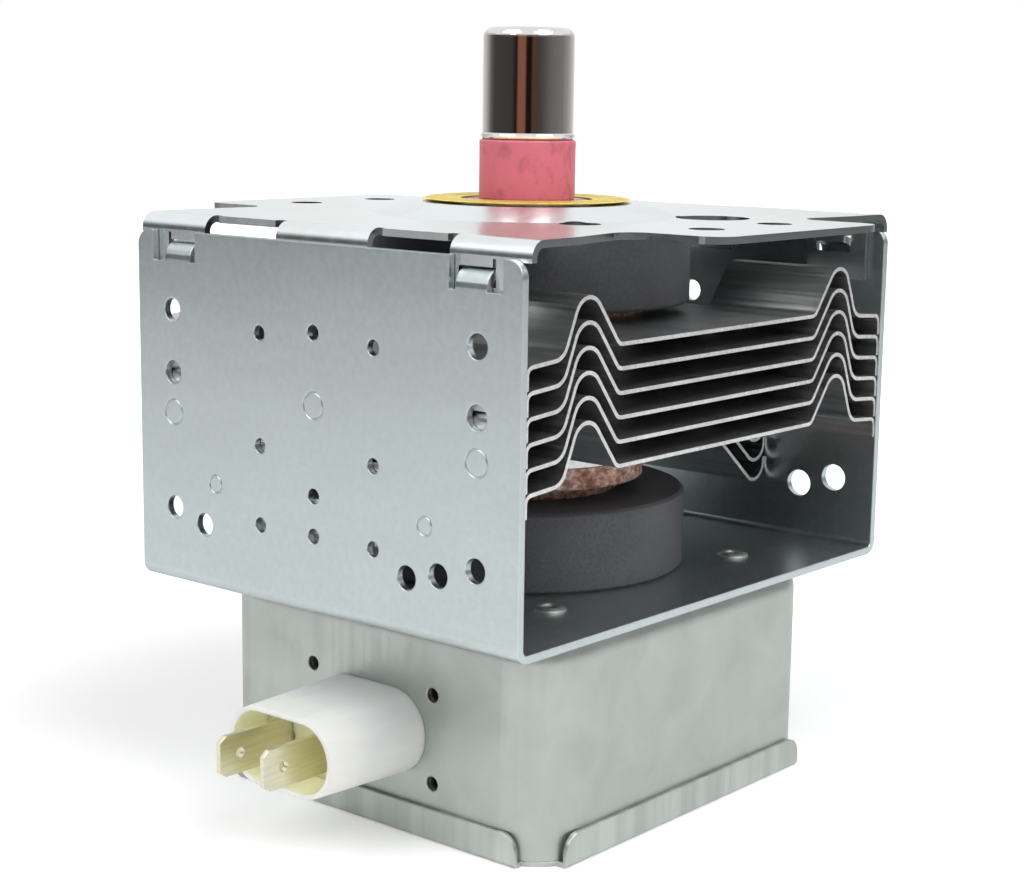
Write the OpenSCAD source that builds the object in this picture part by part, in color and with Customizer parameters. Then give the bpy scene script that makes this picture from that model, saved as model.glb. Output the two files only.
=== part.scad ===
// Magnetron of a microwave oven: clinched steel yoke, two ring magnets, finned anode and filter box.
// Millimetres, +Z up along the antenna. Z = 0 is the flat upper face of the mounting plate.

/* [Yoke] */
// Length of the folded side walls along X
yoke_len = 80.5; // [70:0.5:95]
// Width over the outside of the side walls, along Y
yoke_w = 98; // [90:0.5:115]
// Height from the plate's upper face to the floor's lower face
yoke_h = 59.6; // [54:0.1:72]
// Sheet of the U-shaped frame
frame_t = 1.2; // [0.8:0.1:2]
// Outside radius of the frame's two folds
frame_bend_r = 2.2; // [2:0.1:5]
// Drop from the plate's face to the top of the side walls
wall_drop = 2.65; // [2:0.05:4]
// Distance of each clinch notch from the middle of the wall, to its inner edge
notch_x = 26.7; // [20:0.1:30]
// Width of a clinch notch
notch_w = 10; // [8:0.5:12]
// Depth of a clinch notch below the wall's top
notch_d = 4.8; // [4:0.1:6]
// Width of the tongue bent inward out of a notch
tongue_w = 5.9; // [4:0.1:7]
// Diameter of the larger holes in the wall on the connector's side
front_hole_d = 3.75; // [3:0.05:5]
// Diameter of the larger holes in the wall at the back
back_hole_d = 4.7; // [3:0.1:5]

/* [Mounting plate] */
// Sheet of the mounting plate
plate_t = 1.1; // [0.8:0.1:2]
// Outside radius of the plate's folds
plate_bend_r = 2.5; // [1.5:0.1:4]
// Half length of the folded edges
plate_half = 40.7; // [38:0.1:47]
// Reach of the mounting ears from the axis
ear_x = 54.4; // [48:0.1:60]
// Width of a mounting ear
ear_w = 45; // [36:0.5:60]
// Mounting holes: distance from the axis along X
mount_x = 42.6; // [40:0.1:50]
// Mounting holes: distance from the axis along Y
mount_y = 9.25; // [8:0.05:16]
// Diameter of the mounting holes
mount_d = 5.5; // [4:0.1:7]
// Height of the raised seat under the gasket
seat_h = 1.9; // [0.5:0.1:3]
// Width of the raised seat's flat top outside the gasket
seat_margin = 1.1; // [0.5:0.1:3]
// Width of the slope round the raised seat
seat_run = 7; // [3:0.5:8]

/* [Magnets] */
// Outer diameter of the ring magnets
magnet_d = 54.6; // [46:0.2:60]
// Bore of the ring magnets
magnet_bore = 20.6; // [20.2:0.1:24]
// Thickness of each ring magnet
magnet_t = 13; // [10:0.5:14]

/* [Tube] */
// Outer diameter of the copper anode
anode_d = 40; // [36:0.5:44]
// Wall of the copper anode
anode_wall = 2.5; // [1.6:0.1:3]
// Number of vanes
vane_n = 10; // [8:2:14]
// Thickness of a vane
vane_t = 2; // [1.4:0.1:2.2]
// Height of a vane
vane_h = 9.4; // [8:0.1:11]
// Radius of the space inside the vanes
vane_r = 4.5; // [4.2:0.1:6]
// Gap between the two pole faces
pole_gap = 12; // [11:0.5:14]
// Height of the upper seal's rim between anode and magnet
seal_up = 1.6; // [1.2:0.1:2.4]
// Height of the lower seal between anode and magnet
seal_low = 5.7; // [4:0.1:7]
// Height of the lower seal's waist under its rim
waist_h = 2.2; // [1:0.1:3]

/* [Fins] */
// Step from one cooling fin to the next
fin_step = 3.6; // [3.2:0.1:4]
// Sheet of the cooling fins
fin_t = 0.6; // [0.4:0.05:0.8]
// Half length of a fin along X
fin_half = 40; // [34:0.5:40]
// Distance of the hump's inner foot from the magnet's edge
foot_gap = -0.65; // [-1:0.05:2]
// Height of the humps over the fin's middle
fin_hump = 7.35; // [5:0.05:9]
// Depth of the middle strips' hooks below the fin's middle
fin_dip = 15; // [9:0.5:16]
// Distance of the humped strips from the fin's middle
slot_x = 19; // [17:0.5:24]
// Width of the slots between humped and hooked strips
slot_w = 1.5; // [0.5:0.1:3]

/* [Antenna] */
// Outer diameter of the antenna cap
cap_d = 15; // [12:0.1:16]
// Height of the cap's top over the plate
cap_top = 30.3; // [26:0.1:36]
// Height of the insulator's top over the plate
insulator_top = 12; // [9:0.1:14]
// Outer diameter of the insulator
insulator_d = 15.9; // [15:0.1:18]
// Outer diameter of the gasket
gasket_d = 35; // [30:0.5:37]
// Thickness of the gasket
gasket_t = 0.9; // [0.8:0.1:4]

/* [Filter box] */
// Length of the filter box along X
box_x = 71.4; // [66:0.2:78]
// Width of the filter box along Y
box_y = 73.5; // [68:0.5:82]
// Height of the filter box with its lid
box_h = 35.9; // [34:0.1:45]
// Sheet of the filter box and its lid
box_t = 0.8; // [0.5:0.1:1.2]
// Outside radius of the box's upright corners
box_r = 9; // [6:0.5:14]
// Outside radius of the drawn upper edge
box_edge_r = 4.5; // [2:0.5:5]
// Height of the lid's upturned flanges
lid_flange = 5.2; // [3:0.1:8]
// Depth of the connector's middle below the top of the box
conn_drop = 19.7; // [18:0.1:24]
// Reach of the connector's housing
conn_len = 20; // [14:0.5:26]
// Half distance between the two terminal blades
blade_x = 4.75; // [4:0.05:6]
// Reach of the terminal blades
blade_len = 28; // [22:0.5:34]

/* [Hidden] */
$fn = 64;
slip = 0.05;
wall_in = yoke_w / 2 - frame_t;
floor_z = -yoke_h + frame_t;
flange_y = wall_in - 0.1;
wall_len = yoke_h - frame_bend_r - wall_drop;
notch_z = -wall_drop - notch_d;
tongue_x = notch_x + 1.2;
slot_lo = notch_z + 0.55;
slot_hi = notch_z + 3.35;
seat_r = gasket_d / 2 + seat_margin;
hole_r = min(seat_r + seat_run + 1, magnet_d / 2 - 0.7);
upper_magnet_z = -plate_t - magnet_t;
lower_magnet_z = floor_z + magnet_t;
anode_z1 = upper_magnet_z - seal_up;
anode_z0 = lower_magnet_z + seal_low;
anode_r = anode_d / 2;
anode_in = anode_r - anode_wall;
vane_mid = (anode_z0 + anode_z1) / 2;
vane_end = sqrt(anode_in * anode_in - vane_t * vane_t / 4) - slip;
pole_drop = (anode_z1 - anode_z0 - pole_gap) / 2;
pole_rim = 1.6;
pole_rim_r = anode_in + 1.1;
fin_z1 = anode_z1 - fin_t / 2;
fin_foot = magnet_d / 2 + foot_gap;
fin_edge = wall_in - slip - fin_t / 2;
cap_t = 0.7;
neck_r = magnet_bore / 2 - 0.4;
neck_t = 0.6;
shell_top = seat_h + 0.3;
box_z1 = -yoke_h;
box_z0 = box_z1 - box_h;
neck_z0 = box_z1 - 5;
conn_z = box_z1 - min(conn_drop, box_h - lid_flange - 7.2);
stem_z0 = max(neck_z0 - 14, conn_z + 0.7);
pin_z0 = stem_z0 - 5;
stake_x = 26.5;
stake_y = 25;
oval_c = 4.8;
oval_r = 6.9;
choke_x = 17;
choke_y0 = -12;
choke_len = 20;
choke_r = 2.6;
choke_wire = 1.3;
lead_r = 0.75;
side_x = 2.4;

// Points of an arc about c, n steps from angle a0 to a1
function arc(c, r, a0, a1, n) =
    [for (k = [0 : n]) c + r * [cos(a0 + (a1 - a0) * k / n), sin(a0 + (a1 - a0) * k / n)]];

// Direction of step i of a path, and the same turned to the left
function step_dir(p, i) = (p[i + 1] - p[i]) / norm(p[i + 1] - p[i]);
function left(v) = [-v[1], v[0]];

// Path point i moved sideways by d, mitred between its two steps
function beside(p, i, d) =
    let (
        a = left(step_dir(p, max(i - 1, 0))),
        b = left(step_dir(p, min(i, len(p) - 2))),
        m = (a + b) / norm(a + b)
    )
    p[i] + m * d / (m * a);

// Outline of a strip of thickness t along a path
function strip(p, t) =
    concat(
        [for (i = [0 : len(p) - 1]) beside(p, i, t / 2)],
        [for (i = [len(p) - 1 : -1 : 0]) beside(p, i, -t / 2)]
    );

// A Y-Z outline pushed along X between x0 and x1
module along_x(x0, x1) {
    translate([x0, 0, 0])
        rotate([90, 0, 90])
            linear_extrude(x1 - x0)
                children();
}

// An X-Z outline pushed along Y, w wide about the middle
module across_y(w) {
    translate([0, w / 2, 0])
        rotate([90, 0, 0])
            linear_extrude(w)
                children();
}

// Quarter of a ring in the first quadrant
module quarter_ring(ro, ri) {
    intersection() {
        difference() {
            circle(ro);
            if (ri > 0) circle(ri);
        }
        square(ro + 1);
    }
}

// Round bar between two points
module bar(p, q, r) {
    v = q - p;
    translate(p)
        rotate([0, acos(v[2] / norm(v)), atan2(v[1], v[0])])
            cylinder(h = norm(v), r = r);
}

// Oval of two half cones and the wedge between them, from height z0 to z1
module oval(r0, r1, z0, z1) {
    translate([-oval_c, 0, 0])
        rotate([90, 0, 90])
            linear_extrude(2 * oval_c)
                polygon([[-r0, z0], [r0, z0], [r1, z1], [-r1, z1]]);
    for (s = [0, 1])
        rotate([0, 0, 180 * s])
            translate([oval_c, 0, 0])
                rotate([0, 0, -90])
                    rotate_extrude(angle = 180)
                        polygon([[0, z0], [r0, z0], [r1, z1], [0, z1]]);
}

// Places its children on the box's connector face, with local Z pointing out of it
module at_connector() {
    translate([0, -box_y / 2, conn_z])
        rotate([90, 0, 0])
            children();
}

// Round holes of one side wall: [x, depth below the plate, diameter]
// d is the larger holes' diameter, c that of the top middle one
function wall_holes(d, c) =
    concat(
        [for (s = [-1, 1], z = [15.1, 25.1, 47.1]) [s * 32.2, z, d]],
        [for (s = [-1, 1]) [s * 25.1, 49, d]],
        [[-18.9, 50.3, d], [0.4, 16, c]],
        [for (s = [-1, 1], z = [17.1, 34.6, 47.1]) [s * 12.1, z, 2.4]],
        [for (z = [40.9, 47.1]) [0.4, z, 2.4]]
    );

// Half-punched rings of one side wall, closed: [x, depth, diameter]
function wall_marks() =
    concat(
        [for (s = [-1, 1]) [s * 32.2, 31.5, 4.3]],
        [for (s = [-1, 1]) [s * 22.4, 42, 3]],
        [[0.4, 27, 4.3]]
    );

// Tongue bent inward out of a notch, on the +Y wall
module tongue() {
    y0 = yoke_w / 2 - frame_t / 2;
    path = concat(
        [[y0, notch_z - 0.2], [y0, notch_z + 0.35]],
        arc([y0 - 2.4, notch_z + 0.35], 2.4, 15, 60, 3),
        [[y0 - 3.1, notch_z + 2.9]]
    );
    along_x(tongue_x, tongue_x + tongue_w)
        polygon(strip(path, frame_t));
}

// One side wall of the frame with its notches, holes and tongues, at +Y
module side_wall(d, c) {
    difference() {
        translate([-yoke_len / 2, wall_in, -yoke_h + frame_bend_r])
            cube([yoke_len, frame_t, wall_len]);
        for (s = [-1, 1]) {
            translate([s * (notch_x + notch_w / 2) - notch_w / 2, wall_in - 1, notch_z])
                cube([notch_w, frame_t + 2, notch_d + 1]);
            translate([s * yoke_len / 2, 0, -wall_drop])
                mirror([s > 0 ? 0 : 1, 0, 0])
                    ear_corner(2.6);
        }
        for (h = wall_holes(d, c))
            translate([h[0], wall_in - 1, -h[1]])
                rotate([-90, 0, 0])
                    cylinder(h = frame_t + 2, d = h[2]);
        for (h = wall_marks())
            translate([h[0], yoke_w / 2 - 0.15, -h[1]])
                rotate([-90, 0, 0])
                    difference() {
                        cylinder(h = 1, d = h[2]);
                        translate([0, 0, -1])
                            cylinder(h = 3, d = h[2] - 0.5);
                    }
    }
    for (s = [0, 1])
        mirror([s, 0, 0])
            tongue();
}

// What rounding a wall's outer top corner takes away
module ear_corner(r) {
    translate([-r, yoke_w / 2 + 1, -r])
        rotate([90, 0, 0])
            linear_extrude(frame_t + 2)
                difference() {
                    square(r + 1);
                    circle(r);
                }
}

// Folded U: floor and two side walls
module yoke_frame() {
    color("LightSteelBlue") {
        difference() {
            translate([-yoke_len / 2, -yoke_w / 2 + frame_bend_r, -yoke_h])
                cube([yoke_len, yoke_w - 2 * frame_bend_r, frame_t]);
            translate([0, 0, -yoke_h - 1])
                cylinder(h = frame_t + 2, r = neck_r + 0.5);
            for (x = [-1, 1], y = [-1, 1])
                translate([x * stake_x, y * stake_y, -yoke_h - 1])
                    cylinder(h = frame_t + 2, r = 1.95);
        }
        for (s = [0, 1])
            rotate([0, 0, 180 * s]) {
                along_x(-yoke_len / 2, yoke_len / 2)
                    translate([yoke_w / 2 - frame_bend_r, -yoke_h + frame_bend_r])
                        mirror([0, 1])
                            quarter_ring(frame_bend_r, frame_bend_r - frame_t);
                side_wall(s == 0 ? back_hole_d : front_hole_d, s == 0 ? 3.8 : 2.4);
            }
    }
}

// Plan of the mounting plate's flat part: middle, two ears with filleted roots, window edges
module plate_plan() {
    y1 = flange_y - plate_bend_r;
    neck = 38.4;
    root = 4;
    for (s = [0, 1])
        rotate(180 * s)
            polygon(concat(
                [[0, -y1], [plate_half, -y1], [plate_half - 0.4, -y1 + 8]],
                arc([neck + root, -ear_w / 2 - root], root, 180, 90, 6),
                arc([ear_x - 4, -ear_w / 2 + 4], 4, -90, 0, 6),
                arc([ear_x - 4, ear_w / 2 - 4], 4, 0, 90, 6),
                arc([neck + root, ear_w / 2 + root], root, 270, 180, 6),
                [[plate_half - 0.4, y1 - 8], [plate_half, y1], [0, y1]]
            ));
    for (x = [-1, 1], y = [-1, 1])
        translate([x * 17.65 - 6.4, y > 0 ? y1 - 1 : -y1 - 1])
            square([12.8, 2]);
}

// Folded edge of the mounting plate over one stretch of X, at +Y, with a leg down to z0
module plate_fold(x0, x1, z0) {
    along_x(x0, x1)
        translate([flange_y - plate_bend_r, -plate_bend_r])
            quarter_ring(plate_bend_r, plate_bend_r - plate_t);
    translate([x0, flange_y - plate_t, z0])
        cube([x1 - x0, plate_t, -plate_bend_r - z0]);
}

// Slot in a leg that takes a tongue, with the lanced slit beside it
module clinch_slot() {
    translate([tongue_x - 0.5, flange_y - plate_t - 1, slot_lo])
        cube([tongue_w + 1, plate_t + 2, slot_hi - slot_lo]);
    translate([tongue_x + tongue_w - 0.1, flange_y - plate_t - 1, slot_hi - 1])
        cube([0.6, plate_t + 2, 2.2]);
}

// Mounting plate: ears, raised gasket seat, three folded legs a side with two windows between them
module yoke_top_plate() {
    color("Gainsboro") {
        difference() {
            union() {
                difference() {
                    translate([0, 0, -plate_t])
                        linear_extrude(plate_t)
                            plate_plan();
                    translate([0, 0, -plate_t - 1])
                        cylinder(h = plate_t + 2, r = hole_r - 0.2);
                }
                rotate_extrude()
                    polygon([
                        [neck_r + 0.7, seat_h], [seat_r, seat_h], [hole_r - 1, 0], [hole_r, 0],
                        [hole_r, -plate_t], [hole_r - 1, -plate_t], [seat_r, seat_h - plate_t],
                        [neck_r + 0.7, seat_h - plate_t]
                    ]);
            }
            for (x = [-1, 1], y = [-1, 1])
                translate([x * mount_x, y * mount_y, -plate_t - 1])
                    cylinder(h = plate_t + 2, d = mount_d);
            translate([28.1, 13.4, -plate_t - 1])
                cylinder(h = plate_t + seat_h + 2, d = 12);
            translate([23.5, -15.5, -plate_t - 1])
                cylinder(h = plate_t + seat_h + 2, d = 6.5);
        }
        for (s = [0, 1])
            rotate([0, 0, 180 * s]) {
                plate_fold(-9.6, 9.6, -8);
                for (m = [0, 1])
                    mirror([m, 0, 0])
                        difference() {
                            union() {
                                plate_fold(25.7, plate_half, -3.1);
                                plate_fold(25.7, 37.2, -11.5);
                            }
                            clinch_slot();
                        }
            }
    }
}

// Ring magnet with broken edges, standing on z
module ring_magnet(z) {
    c = 0.5;
    color("DimGray")
        translate([0, 0, z])
            rotate_extrude()
                polygon([
                    [magnet_bore / 2, 0], [magnet_d / 2 - c, 0], [magnet_d / 2, c],
                    [magnet_d / 2, magnet_t - c], [magnet_d / 2 - c, magnet_t], [magnet_bore / 2, magnet_t]
                ]);
}

module upper_magnet() {
    ring_magnet(upper_magnet_z);
}

module lower_magnet() {
    ring_magnet(floor_z);
}

// Half of a humped strip's middle line from its foot outward: rise, crest, fall, wing, flange
function hump_path() =
    let (
        rise = 52,
        fall = 67,
        foot = 1.6,
        crest = 3.1,
        root = 3,
        curl = 1.2,
        drop = 1.1,
        sag = 0.35,
        cz = fin_hump - crest,
        cy = fin_foot + (cz + crest * cos(rise)) / tan(rise) + crest * sin(rise),
        by = cy + (crest + root) * sin(fall) + (cz + drop - root + (crest + root) * cos(fall)) / tan(fall)
    )
    concat(
        arc([fin_foot - foot * tan(rise / 2), foot], foot, 270, 270 + rise, 3),
        arc([cy, cz], crest, 90 + rise, 90 - fall, 8),
        arc([by, root - drop], root, 270 - fall, 270, 5),
        arc([fin_edge - curl, -drop - sag - curl], curl, 90, 0, 4),
        [[fin_edge, fin_t / 2 - drop - sag - fin_step]]
    );

// Half of a middle strip's line from its fold outward: fall, and a hook that turns up against the wall
function hook_path() =
    let (
        bend = 1.6,
        hook = 2.85,
        y0 = fin_foot - 1,
        hy = fin_edge - hook,
        hz = hook - fin_dip,
        fall = atan2(-hz, hy - y0) + asin(hook / norm([hy - y0, hz]))
    )
    concat(
        arc([y0 - bend * tan(fall / 2), -bend], bend, 90, 90 - fall, 3),
        arc([hy, hz], hook, 270 - fall, 360, 8),
        [[fin_edge, hz + fin_step - 2.6]]
    );

// A half path with its mirror image before it
function both_ways(h) =
    concat([for (k = [len(h) - 1 : -1 : 0]) [-h[k][0], h[k][1]]], h);

// Cooling fin number i: slit sheet, its ends humped up and its middle hooked down. Its drawn collar spaces it
// from the next, and the last collar runs on along the anode
module cooling_fin(i) {
    ri = anode_r + slip;
    flat_y = fin_foot - 2.6;
    end = i < 6 ? fin_t / 2 - fin_step : -5.5;
    color("Silver")
        translate([0, 0, fin_z1 - fin_step * (i - 1)]) {
            difference() {
                union() {
                    for (s = [0, 1])
                        rotate([0, 0, 180 * s])
                            along_x(slot_x, fin_half)
                                polygon(strip(both_ways(hump_path()), fin_t));
                    along_x(slot_w - slot_x, slot_x - slot_w)
                        polygon(strip(both_ways(hook_path()), fin_t));
                    translate([-slot_x - 1, -flat_y, -fin_t / 2])
                        cube([2 * slot_x + 2, 2 * flat_y, fin_t]);
                }
                translate([0, 0, -3])
                    cylinder(h = 6, r = ri + 1.2);
            }
            rotate_extrude()
                polygon(concat(
                    [[ri, end], [ri + fin_t, end]],
                    arc([ri + fin_t + 0.4, -fin_t / 2 - 0.4], 0.4, 180, 90, 3),
                    [[ri + 1.6, -fin_t / 2], [ri + 1.6, fin_t / 2]],
                    arc([ri + 0.7, fin_t / 2 - 0.7], 0.7, 90, 180, 4)
                ));
        }
}

// Copper anode tube, stepped at both ends for the pole pieces
module anode_cylinder() {
    color("Peru")
        rotate_extrude()
            polygon([
                [anode_in, anode_z0 + pole_rim], [pole_rim_r, anode_z0 + pole_rim], [pole_rim_r, anode_z0],
                [anode_r, anode_z0], [anode_r, anode_z1], [pole_rim_r, anode_z1],
                [pole_rim_r, anode_z1 - pole_rim], [anode_in, anode_z1 - pole_rim]
            ]);
}

// One vane's upright outline: recess for the straps, and the pad that meets one of them
module vane_outline(odd) {
    d = 1.6;
    pad = 0.3;
    h = vane_h / 2;
    top = odd ? 6.2 : 8;
    low = odd ? 8 : 6.2;
    difference() {
        translate([vane_r, -h])
            square([vane_end - vane_r, vane_h]);
        difference() {
            translate([5.9, h - d])
                square([3.2, d + 1]);
            translate([top, h - d - 1])
                square([0.8, 1 + pad]);
        }
        difference() {
            translate([5.9, -h - 1])
                square([3.2, d + 1]);
            translate([low, -h + d - pad])
                square([0.8, 1 + pad]);
        }
    }
}

// Vanes brazed to the inside of the anode
module anode_vanes() {
    color("Peru")
        translate([0, 0, vane_mid])
            for (i = [0 : vane_n - 1])
                rotate([0, 0, 360 / vane_n * i])
                    across_y(vane_t)
                        vane_outline(i % 2 == 1);
}

// Two straps above and two below, each on every second vane
module strap_rings() {
    color("Chocolate")
        translate([0, 0, vane_mid])
            for (s = [0, 1], r = [6.2, 8])
                mirror([0, 0, s])
                    rotate_extrude()
                        translate([r, vane_h / 2 - 1.3])
                            square([0.8, 1]);
}

// Funnel-shaped iron pole piece, hanging from z = 0
module pole_piece() {
    rotate_extrude()
        polygon([
            [pole_rim_r - slip, 0], [pole_rim_r - slip, -pole_rim], [pole_rim_r - 1.8, -pole_rim],
            [8, -pole_drop], [vane_r + 0.3, -pole_drop], [vane_r + 0.3, 1.6 - pole_drop],
            [7.2, 1.6 - pole_drop], [pole_rim_r - 2.6, 0]
        ]);
}

// Upper pole piece with the hole that lets the antenna lead through
module upper_pole_piece() {
    color("Gray")
        difference() {
            translate([0, 0, anode_z1])
                pole_piece();
            translate([10.5, 0, anode_z1 - 20])
                cylinder(h = 40, r = 2.2);
        }
}

module lower_pole_piece() {
    color("Gray")
        translate([0, 0, anode_z0])
            mirror([0, 0, 1])
                pole_piece();
}

// Thin steel shell: rim on the anode, waist w high, web on the magnet, neck with a lip for the ceramic
module seal_shell(rim_h, rim_r, neck_h, w) {
    ri = neck_r - neck_t;
    waist_r = pole_rim_r - 2.6;
    rotate_extrude()
        polygon([
            [rim_r, -rim_h], [rim_r, -w], [waist_r, -w], [waist_r, 0], [neck_r, 0], [neck_r, neck_h],
            [5.9, neck_h], [5.9, neck_h - neck_t], [ri, neck_h - neck_t], [ri, -neck_t],
            [waist_r - neck_t, -neck_t], [waist_r - neck_t, -w - neck_t],
            [pole_rim_r - 0.2, -w - neck_t], [pole_rim_r - 0.2, -rim_h]
        ]);
}

module upper_seal_shell() {
    color("Sienna")
        translate([0, 0, upper_magnet_z])
            seal_shell(seal_up, anode_r, shell_top - upper_magnet_z, 0.3);
}

module lower_seal_shell() {
    color("Sienna")
        translate([0, 0, lower_magnet_z])
            mirror([0, 0, 1])
                seal_shell(seal_low, anode_r + 0.2, lower_magnet_z - neck_z0, waist_h);
}

// Copper strip from a vane's upper edge through the pole piece into the pinched tube
module antenna_lead() {
    z = vane_mid + vane_h / 2;
    path = [
        [10.5, z], [10.5, anode_z1 - 3], [8.2, upper_magnet_z - 1],
        [1.6, upper_magnet_z + 9], [0, upper_magnet_z + 13], [0, insulator_top + 9]
    ];
    color("Peru")
        across_y(2.2)
            polygon(strip(path, 1.2));
}

// Ceramic tube between the shell's lip and the antenna
module antenna_insulator() {
    r = insulator_d / 2;
    color("PaleVioletRed")
        rotate_extrude()
            polygon([
                [5.4, shell_top], [r - 0.3, shell_top], [r, shell_top + 0.3],
                [r, insulator_top - 0.3], [r - 0.3, insulator_top], [5.4, insulator_top]
            ]);
}

// Copper tube on a flange, pumped out through and then pinched shut to a chisel edge
module exhaust_tube() {
    z = insulator_top;
    color("Peru") {
        rotate_extrude()
            polygon([
                [2.7, z], [cap_d / 2 - cap_t - slip, z], [cap_d / 2 - cap_t - slip, z + 0.8],
                [3.4, z + 0.8], [3.4, z + 9.5], [2.7, z + 9.5]
            ]);
        intersection() {
            translate([0, 0, z + 9.5])
                cylinder(h = 6, r = 3.4);
            across_y(8)
                polygon([[-3.6, z + 9.5], [3.6, z + 9.5], [0.7, z + 15.4], [-0.7, z + 15.4]]);
        }
    }
}

// Drawn cap with a beaded rim, pressed over the flange of the exhaust tube
module antenna_cap() {
    r = cap_d / 2;
    t = cap_t;
    e = 1.6;
    bead = 0.6;
    color("WhiteSmoke")
        rotate_extrude()
            polygon(concat(
                [[r - t, insulator_top]],
                arc([r - bead + 0.25, insulator_top + bead], bead, 270, 415, 6),
                [[r, insulator_top + 2 * bead + 0.1]],
                arc([r - e, cap_top - e - 0.25], e, 0, 80, 8),
                [[0, cap_top], [0, cap_top - t]],
                arc([r - e, cap_top - e - 0.25], e - t, 80, 0, 6)
            ));
}

// Flat ring of woven brass on the raised seat
module gasket_ring() {
    r = gasket_t / 2;
    color("Goldenrod")
        translate([0, 0, seat_h])
            rotate_extrude()
                polygon(concat(
                    arc([gasket_d / 2 - r, r], r, -90, 90, 6),
                    arc([neck_r + 0.8 + r, r], r, 90, 270, 6)
                ));
}

// Wire coil standing on z = 0: radius to the wire's inside, wire, height, turns, steps a turn
module coil(ri, wire, h, turns, steps) {
    span = 360 * wire * turns / h;
    linear_extrude(height = h, twist = -360 * turns, slices = steps * turns, $fn = 12)
        polygon(concat(
            arc([0, 0], ri + wire, -span / 2, span / 2, 5),
            arc([0, 0], ri, span / 2, -span / 2, 5)
        ));
}

// Thoriated tungsten coil in the middle of the vanes
module filament() {
    color("SlateGray")
        translate([0, 0, vane_mid - vane_h / 2])
            coil(1.7, 0.5, vane_h, 7, 12);
}

module upper_end_hat() {
    color("DarkGray")
        translate([0, 0, vane_mid + vane_h / 2])
            cylinder(h = 1.2, r = 3.6);
}

// Lower end hat, open in the middle for the centre lead
module lower_end_hat() {
    color("DarkGray")
        translate([0, 0, vane_mid - vane_h / 2 - 1.2])
            difference() {
                cylinder(h = 1.2, r = 3.6);
                translate([0, 0, -1])
                    cylinder(h = 4, r = lead_r + 0.4);
            }
}

// Rod that carries the upper end hat
module centre_lead() {
    color("DarkGray")
        translate([0, 0, pin_z0])
            cylinder(h = vane_mid + vane_h / 2 - pin_z0, r = lead_r);
}

// Rod that carries the lower end hat
module side_lead() {
    color("DarkGray")
        translate([side_x, 0, pin_z0])
            cylinder(h = vane_mid - vane_h / 2 - 1.2 - pin_z0, r = lead_r);
}

// Ceramic stem that holds both leads under the shell's neck
module stem_ceramic() {
    color("Linen")
        difference() {
            translate([0, 0, stem_z0])
                cylinder(h = neck_z0 - stem_z0, r = neck_r - 0.9);
            for (x = [0, side_x])
                translate([x, 0, stem_z0 - 1])
                    cylinder(h = 40, r = lead_r + slip);
        }
}

// Section of the box: half the top, drawn edge and wall, at u from a corner's middle
module box_section() {
    h = box_h - box_t;
    translate([box_r - box_edge_r, -box_edge_r])
        quarter_ring(box_edge_r, box_edge_r - box_t);
    translate([box_r - box_t, -h])
        square([box_t, h - box_edge_r]);
    translate([0, -box_t])
        square([box_r - box_edge_r, box_t]);
}

// Drawn box without its holes, its top at z = 0
module box_shell() {
    bx = box_x / 2 - box_r;
    by = box_y / 2 - box_r;
    translate([-bx, -by, -box_t])
        cube([2 * bx, 2 * by, box_t]);
    for (s = [0, 1])
        rotate([0, 0, 180 * s]) {
            along_x(-bx, bx)
                translate([by, 0])
                    box_section();
            translate([bx, 0, 0])
                across_y(2 * by)
                    box_section();
            translate([bx, by, 0])
                rotate_extrude(angle = 90)
                    box_section();
            translate([-bx, by, 0])
                rotate([0, 0, 90])
                    rotate_extrude(angle = 90)
                        box_section();
        }
}

// Hollow stake drawn up out of the box's top, through the yoke's floor and flared over it
module stake() {
    rotate_extrude()
        polygon([
            [1.2, -box_t], [1.9, -box_t], [1.9, frame_t], [2.6, frame_t], [2.6, frame_t + 0.35],
            [1.75, frame_t + 0.75], [1.2, frame_t + 0.55]
        ]);
}

// Drawn steel filter box under the yoke
module filter_box() {
    color("LightGray") {
        difference() {
            translate([0, 0, box_z1])
                box_shell();
            translate([0, 0, box_z1 - 2])
                cylinder(h = 4, r = neck_r + 0.5);
            for (x = [-1, 1], y = [-1, 1])
                translate([x * stake_x, y * stake_y, box_z1 - 2])
                    cylinder(h = 4, r = 1.6);
            at_connector() {
                oval(oval_r - 0.5, oval_r - 0.5, -2, 1);
                for (x = [-1, 1], y = [-1, 1])
                    translate([x * 13.1, y * 7.15, -2])
                        cylinder(h = 3, r = 1.2);
            }
        }
        for (x = [-1, 1], y = [-1, 1])
            translate([x * stake_x, y * stake_y, box_z1])
                stake();
    }
}

// Upturned flange of the lid with rounded ends, at +Y, l long, its inside face at y
module lid_side(l, y) {
    r = 3;
    h = lid_flange - box_t;
    along_x(-l / 2, l / 2)
        translate([y, box_t])
            mirror([0, 1])
                quarter_ring(box_t, 0);
    translate([0, y + box_t, box_t])
        rotate([90, 0, 0])
            linear_extrude(box_t)
                polygon(concat(
                    [[-l / 2, 0], [l / 2, 0]],
                    arc([l / 2 - r, h - r], r, 0, 90, 6),
                    arc([-l / 2 + r, h - r], r, 90, 180, 6)
                ));
}

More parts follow.
